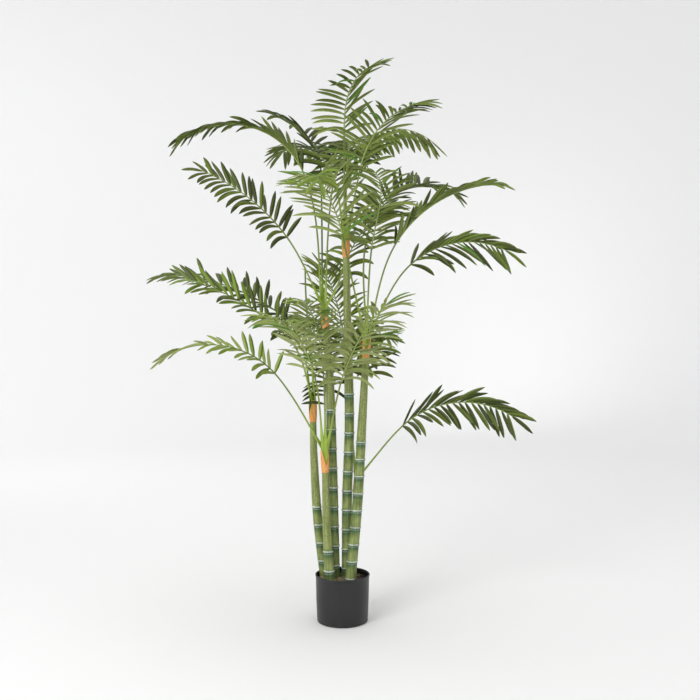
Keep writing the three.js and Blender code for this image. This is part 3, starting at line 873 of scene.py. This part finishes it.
crowns = {letter: crown_ribs(cane) for letter, cane in canes.items()}
for letter, ribs in crowns.items():
    for number, (rib, inward) in enumerate(ribs, 1):
        rings, on_rib = rib_body(rib, inward)
        piece = skinned(f"rib_{letter}{number}", [rings])
        keep_values(piece, "from_collar", np.repeat(on_rib, rib_sides))
        piece.data.materials.append(dark_stalk if rib.frond["tone"] == 0 else green_stalk)
        piece.data.materials.append(pale_rib)
        under = np.tile(np.arange(rib_sides) < rib_sides // 2, len(rings) - 1)
        feathered = np.repeat(on_rib[:-1] >= rib.frond["stalk"], rib_sides)
        pale = np.concatenate([under & feathered, [False, False]])
        piece.data.polygons.foreach_set("material_index", pale.astype(np.int32))
        shade(piece, 60)
        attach(piece, "root")
        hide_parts(f"frond_{letter}{number}")

# Leaflets
# Each one is cut from printed polyester cloth and pressed to a ridge along its middle, dark above
# and paler beneath, and is moulded into the rib by a pale narrow foot.

leaf_cuts = {
    "broad": dict(pitch=20.5 * mm, half_width=6.7 * mm, fold=0.55),
    "fine": dict(pitch=14.5 * mm, half_width=4.7 * mm, fold=0.65),
}
least_half_width = 0.25 * mm
leaf_thickness = 0.9 * mm
edge_thickness_share = 0.35
leaf_segments = 12
ring_crowding = 1.35
leaf_foot_share = 0.05
# A leaflet widens from its foot over the first third of its length and is rounded over the last,
# and it droops more and more towards its tip
foot_width_share = 0.34
widening_share = 0.36
rounding_share = 0.38
rounding_power = 0.8
droop = 1.28
droop_power = 1.2
# The shortest leaflets of a blade beside its longest, and where their wave of lengths starts
shortest_share = 0.72
wave_start = 0.25
leaf_angle_at_tip = 34
leaf_angle_least = 24
first_pair_share = 0.2
root_rise = 0.8 * mm
cane_clearance = 3 * mm
obstacle_step = 8 * mm

# How leaflets differ by chance: the spread of their angle, lift and twist, and the least and most
# of their length and sag
angle_spread = 5
lift_spread = 8
twist_spread = 0.3
leaf_length_range = (0.93, 1.04)
sag_range = (0.6, 1.5)

# A few leaflets of the lighter fronds are a bright green, the last of the tones
tone_steps = [-1, 0, 0, 1]
bright_tone = 5
bright_share = 0.03
bright_from = 2
upper_tones = ["#3e4820", "#55602b", "#65762f", "#758f2c", "#90a054", "#5a8c32"]
under_tones = ["#5c6a34", "#6d7c3c", "#7d8e49", "#8f9e57", "#a0ab6e", "#6f9645"]


def leaf_share(on_blade):
    """How long the leaflets are along the blade: longest a third of the way, shorter at both ends."""
    wave = np.sin(pi * np.minimum(1, wave_start + (1 - wave_start) * on_blade))
    return shortest_share + (1 - shortest_share) * wave


def leaf_body(root, reach, normal, length, sag, twist, cut):
    """A leaflet's rings: left edge, ridge, right edge and underside, from its foot to its tip."""
    eased = 1 - (1 - np.linspace(0, 1, leaf_segments)) ** ring_crowding
    share = np.sort(np.append(eased, leaf_foot_share))
    middles = (share[1:] + share[:-1]) / 2
    fall = np.array([0, 0, -sag * np.hypot(reach[0], reach[1]) ** 2])
    headings = unit(reach + droop * middles[:, None] ** droop_power * fall)
    steps = np.diff(share)[:, None] * length
    middle = root + np.vstack([np.zeros(3), np.cumsum(headings * steps, 0)])
    along = unit(np.vstack([headings[:1], headings[1:] + headings[:-1], headings[-1:]]))
    up = unit(normal - (along @ normal)[:, None] * along)
    right = np.cross(along, up)
    turn = (twist * share)[:, None]
    up, right = up * np.cos(turn) + right * np.sin(turn), right * np.cos(turn) - up * np.sin(turn)
    widened = np.sin(np.minimum(1, share / widening_share) * pi / 2)
    rounded = np.clip((share - 1 + rounding_share) / rounding_share, 0, 1)
    outline = (foot_width_share + (1 - foot_width_share) * widened) * (1 - rounded**2) ** rounding_power
    half = cut["half_width"] * outline + least_half_width
    thinning = edge_thickness_share + (1 - edge_thickness_share) * half / cut["half_width"]
    half, thick, fold = half[:, None], (leaf_thickness * thinning)[:, None], cut["fold"] * half[:, None]
    left_edge = middle - half * right - fold * up
    right_edge = middle + half * right - fold * up
    return np.stack([left_edge, middle + thick / 2 * up, right_edge, middle - thick / 2 * up], 1)


def leaf_stance(rib, distance, hand):
    """Where a leaflet is rooted, the way that it goes and the normal of its upper face. Its hand is
    1 on the right of the rib, -1 on the left, and 0 where it carries on from the rib's end."""
    frond = rib.frond
    along, side, up = rib.axes(np.array(distance))
    angle = frond["spread"] + (leaf_angle_at_tip - frond["spread"]) * rib.on_blade(distance)
    angle = max(angle + frond["skew"] * hand, leaf_angle_least)
    angle = radians(angle + dice.normal(0, angle_spread))
    lift = radians(frond["lift"] + dice.normal(0, lift_spread))
    out = hand * side * cos(lift) + up * sin(lift)
    reach = unit(along * cos(angle) + out * sin(angle)) if hand else along
    across = unit(along - (along @ reach) * reach) if hand else side
    normal = unit(np.cross(across, reach))
    normal = normal if normal @ up > 0 else -normal
    return rib.at(distance) + root_rise * up, reach, normal


def leaf_tone(frond):
    """The tone of a leaflet: that of its frond, the one before or after it, or the bright one."""
    tone = np.clip(frond["tone"] + dice.choice(tone_steps), 0, bright_tone - 1)
    bright = dice.random() < bright_share and frond["tone"] >= bright_from
    return bright_tone if bright else tone


def frond_leaflets(rib, obstacles):
    """The leaflets of a frond and their tones: pairs along the blade, and one at the rib's end.
    One that would come too near to a cane or a collar is left out."""
    frond = rib.frond
    cut = leaf_cuts[frond["cut"]]
    pairs = round(frond["blade"] / cut["pitch"])
    paired = frond["stalk"] + (np.arange(pairs) + first_pair_share) * frond["blade"] / pairs
    places = [(hand, distance) for hand in (1, -1) for distance in paired] + [(0, rib.length)]
    bodies, tones = [], []
    for hand, distance in places:
        root, reach, normal = leaf_stance(rib, distance, hand)
        share = leaf_share(rib.on_blade(distance))
        length = frond["leaf"] * share * dice.uniform(*leaf_length_range)
        sag = frond["sag"] * dice.uniform(*sag_range)
        body = leaf_body(root, reach, normal, length, sag, dice.normal(0, twist_spread), cut)
        tone = leaf_tone(frond)
        past_foot = body[2:].mean(1)
        gaps = np.linalg.norm(past_foot[:, None] - obstacles[:, :3], axis=2) - obstacles[:, 3]
        if gaps.min() > cane_clearance:
            bodies.append(body)
            tones.append(tone)
    return bodies, tones


def leaf_slots(tone):
    """The materials of a leaflet's faces. The right half of its upper face is a tone darker than
    the left one, as painted shade of the fold along its ridge, apart from a bright one's, and its first
    segment is the plastic foot."""
    # The right half of the upper face takes a darker tone: painted shade of the fold along the ridge
    painted_shade_tone = tone if tone == bright_tone else max(tone - 1, 0)
    under = tone + len(upper_tones)
    sides = [tone, painted_shade_tone, under, under] * (leaf_segments - 1)
    return [foot_slot] * 4 + sides + [foot_slot, tone]


weave_width = 1.5 * mm


def leaf_cloth(name, colour, roughness):
    """Printed polyester leaf cloth: plain in colour, with a faint weave that breaks its soft gloss.
    Its threads are 0.2 mm wide and are drawn coarser to show."""
    cloth, at = new_material(name)
    weave = add_node(cloth, "TexNoise", {"Vector": at, "Scale": 1 / weave_width, "Detail": 2})
    bump = add_node(cloth, "Bump", {"Height": weave.outputs[0], "Strength": 0.25, "Distance": 0.2 * mm})
    set_surface(cloth, {
        "Base Color": linear(colour),
        "Roughness": roughness,
        "Specular IOR Level": 0.18,
        "Normal": bump.outputs[0],
    })
    return cloth


leaf_cloths = []
for face, colours, roughness in [("upper", upper_tones, 0.42), ("under", under_tones, 0.55)]:
    for number, colour in enumerate(colours, 1):
        leaf_cloths.append(leaf_cloth(f"leaf_cloth_{face}_{number}", colour, roughness))
# The plastic of the feet comes last, and has the same faint roughness as the cloth
foot_slot = len(leaf_cloths)
leaf_cloths.append(leaf_cloth("leaf_foot_plastic", "#788f42", 0.45))

obstacles = []
for letter, cane in canes.items():
    heights = np.arange(0, lines[letter].length, obstacle_step)
    in_collar = heights > lines[letter].length - collar_height
    radii = np.where(in_collar, collar_top_radius, cane_radius(cane, heights))
    obstacles.append(np.column_stack([lines[letter].at(heights), radii]))
obstacles = np.vstack(obstacles)

for letter, ribs in crowns.items():
    for number, (rib, _) in enumerate(ribs, 1):
        if rib.frond["blade"] == 0:
            continue
        bodies, tones = frond_leaflets(rib, obstacles)
        piece = skinned(f"leaflets_{letter}{number}", bodies)
        for cloth in leaf_cloths:
            piece.data.materials.append(cloth)
        slots = np.concatenate([leaf_slots(tone) for tone in tones])
        piece.data.polygons.foreach_set("material_index", slots.astype(np.int32))
        shade(piece, 20)
        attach(piece, "root")
        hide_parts(f"frond_{letter}{number}")

# Room
# A pale seamless studio: the floor curves up into the wall all round, so no horizon shows. Four
# soft boxes and the pale air light it, most of all from the front left.

floor_radius = 5
cove_radius = 2.5
cove_steps = 15
wall_top = 7
room_sides = 96
cove_angles = np.linspace(0, pi / 2, cove_steps + 1)
cove = [(floor_radius + cove_radius * sin(a), cove_radius * (1 - cos(a))) for a in cove_angles]
studio = spun("studio_floor", [(0, 0), *cove, (floor_radius + cove_radius, wall_top)], room_sides)
# The room is seen from inside, so its faces are turned inwards
bpy.context.view_layer.objects.active = studio
bpy.ops.object.mode_set(mode="EDIT")
bpy.ops.mesh.select_all(action="SELECT")
bpy.ops.mesh.flip_normals()
bpy.ops.object.mode_set(mode="OBJECT")
shade(studio, 60)
paper, _ = new_material("studio_paper")
set_surface(paper, {"Base Color": linear("#f2f2f2"), "Roughness": 0.9, "Specular IOR Level": 0.1})
studio.data.materials.append(paper)

world = bpy.data.worlds.new("studio_air")
world.use_nodes = True
world.node_tree.nodes["Background"].inputs["Color"].default_value = linear("#fbfbfb")
world.node_tree.nodes["Background"].inputs["Strength"].default_value = 0.85
bpy.context.scene.world = world
bpy.context.scene.view_settings.view_transform = "Standard"

plant_middle = (0, 0, 0.9)
left_wall = (-1.5, 7.4, 1.6)
right_wall = (1.5, 7.5, 1.7)
for name, place, aim, side, power in [
    ("front_left_softbox", (-2.6, -3.6, 3.2), plant_middle, 2.2, 112),
    ("overhead_softbox", (0.3, 0.4, 4.6), plant_middle, 3.0, 25),
    ("wall_softbox", (-3.2, 2.6, 3.4), left_wall, 3.0, 40),
    ("glow_softbox", (1.5, 5.2, 1.7), right_wall, 1.5, 6),
]:
    lamp = bpy.data.lights.new(name, "AREA")
    lamp.size = side
    lamp.energy = power
    softbox = bpy.data.objects.new(name, lamp)
    softbox.location = place
    softbox.rotation_euler = (Vector(aim) - Vector(place)).to_track_quat("-Z", "Y").to_euler()
    softbox.visible_camera = False
    bpy.context.collection.objects.link(softbox)

# The photograph was taken level, from a little under 2.7 m away
camera = bpy.data.objects.new("camera", bpy.data.cameras.new("camera"))
camera.data.sensor_width = 36
camera.data.lens = 42.99
camera.location = (0.024, -2.675, 0.865)
camera.rotation_euler = (pi / 2, 0, 0)
bpy.context.collection.objects.link(camera)
bpy.context.scene.camera = camera
